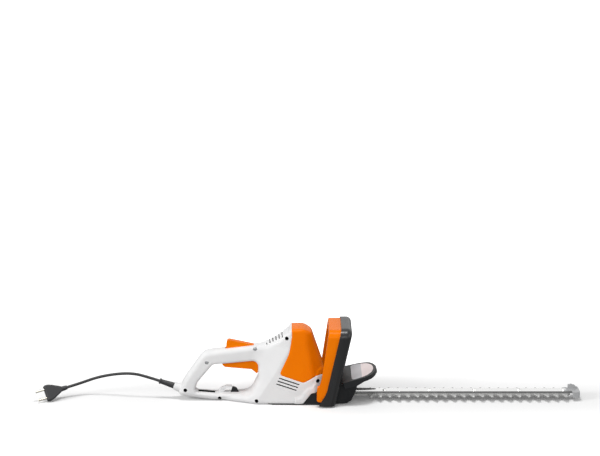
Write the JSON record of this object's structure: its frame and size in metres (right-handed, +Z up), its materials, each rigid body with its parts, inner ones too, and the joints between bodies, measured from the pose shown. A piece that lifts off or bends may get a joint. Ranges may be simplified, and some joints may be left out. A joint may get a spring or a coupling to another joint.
{
  "type": "corded hedge trimmer",
  "caption": "Corded electric hedge trimmer with a long toothed blade, hooped front switch handle, hand guard, rear trigger grip and a mains lead with plug.",
  "frame": {"origin": "on the floor plane under the bottom plate, on the vertical axis that the crank gear turns about", "axes": "+X along the blade to its tip, +Y to the left of the user, +Z up"},
  "size_m": [1.1745, 0.128, 0.172],
  "materials": {
    "white_shell": "moulded, fine satin grain",
    "orange_plastic": "moulded, satin gloss",
    "black_plastic": "moulded, fine matt grain",
    "printed_label": "printed adhesive film",
    "blade_steel": "ground with sharpened edges",
    "bar_steel": "rolled and ground",
    "zinc_steel": "zinc plated",
    "grey_plastic": "moulded",
    "plate_steel": "black painted sheet",
    "ground_steel": "ground, oiled",
    "spring_steel": "drawn wire",
    "lamination": "varnished lamination stack",
    "copper": "enamelled copper",
    "carbon": "pressed carbon",
    "cast_aluminium": "die cast",
    "fan_plastic": "moulded",
    "felt": "oiled felt",
    "black_rubber": "matt flexible sheath",
    "plated_brass": "nickel plated"
  },
  "bodies": {
    "housing": {"right_housing_shell": "white_shell", "left_housing_shell": "white_shell", "motor_hood": "orange_plastic", "housing_screws": "zinc_steel", "cord_hook_lip": "black_plastic", "gear_case": "black_plastic", "bottom_plate": "plate_steel", "bottom_plate_screws": "zinc_steel", "stator_core": "lamination", "field_coils": "copper", "motor_bracket": "cast_aluminium", "lower_bearing": "ground_steel", "upper_bearing": "ground_steel", "carbon_brushes": "carbon", "brush_holders": "black_plastic", "gear_axle": "ground_steel", "thrust_washer": "zinc_steel", "guide_bar": "bar_steel", "blade_bolts": "zinc_steel", "blade_nuts": "zinc_steel", "bar_anchor_screws": "zinc_steel", "tip_guard": "grey_plastic", "tip_guard_rivets": "zinc_steel", "oil_felt": "felt", "front_handle": "black_plastic", "front_handle_screws": "zinc_steel", "bow_pivot_pins": "zinc_steel", "bow_return_springs": "spring_steel", "bow_switch": "black_plastic", "hand_guard": "black_plastic", "guard_screws": "zinc_steel", "guard_label": "printed_label", "trigger_pin": "zinc_steel", "trigger_spring": "spring_steel", "lockout_pin": "zinc_steel", "lockout_spring": "spring_steel", "rear_switch": "black_plastic", "suppressor_capacitor": "fan_plastic", "internal_leads": "black_rubber", "strain_relief": "black_rubber", "power_cord": "black_rubber", "plug_body": "black_rubber", "plug_pins": "plated_brass"},
    "rotor": {"motor_shaft": "ground_steel", "armature_core": "lamination", "armature_windings": "copper", "commutator": "copper", "cooling_fan": "fan_plastic", "pinion": "ground_steel"},
    "gear": {"spur_gear": "ground_steel", "upper_eccentric": "ground_steel", "lower_eccentric": "ground_steel"},
    "upper_knife": {"upper_blade": "blade_steel"},
    "lower_knife": {"lower_blade": "blade_steel"},
    "trigger": {"rear_trigger": "orange_plastic"},
    "lockout": {"lockout_lever": "orange_plastic"},
    "bow": {"switch_bow": "orange_plastic"}
  },
  "joints": [
    {"name": "rotor_spin", "type": "hinge", "parent": "housing", "child": "rotor", "pos_m": [-0.03515, 0, 0.09], "axis": [0, 0, 1], "continuous": true},
    {"name": "gear_spin", "type": "hinge", "parent": "housing", "child": "gear", "pos_m": [0, 0, 0.02], "axis": [0, 0, 1], "continuous": true},
    {"name": "upper_blade_slide", "type": "slide", "parent": "housing", "child": "upper_knife", "axis": [1, 0, 0], "range_m": [-0.005, 0.005]},
    {"name": "lower_blade_slide", "type": "slide", "parent": "housing", "child": "lower_knife", "axis": [1, 0, 0], "range_m": [-0.005, 0.005]},
    {"name": "trigger_press", "type": "hinge", "parent": "housing", "child": "trigger", "pos_m": [-0.204, 0, 0.0895], "axis": [0, -1, 0], "range_deg": [0, 7.5], "stiffness_Nm_per_rad": 0.6, "springref_deg": -14.32},
    {"name": "lockout_press", "type": "hinge", "parent": "housing", "child": "lockout", "pos_m": [-0.147, 0, 0.1178], "axis": [0, -1, 0], "range_deg": [0, 8], "stiffness_Nm_per_rad": 0.4, "springref_deg": -14.32},
    {"name": "bow_squeeze", "type": "hinge", "parent": "housing", "child": "bow", "pos_m": [0.0065, 0, 0.038], "axis": [0, 1, 0], "range_deg": [0, 2.2], "stiffness_Nm_per_rad": 6, "springref_deg": -4.58}
  ],
  "couplings": [
    {"joint": "gear_spin", "follows": "rotor_spin", "ratio": -0.16667},
    {"joint": "lower_blade_slide", "follows": "upper_blade_slide", "ratio": -1}
  ]
}
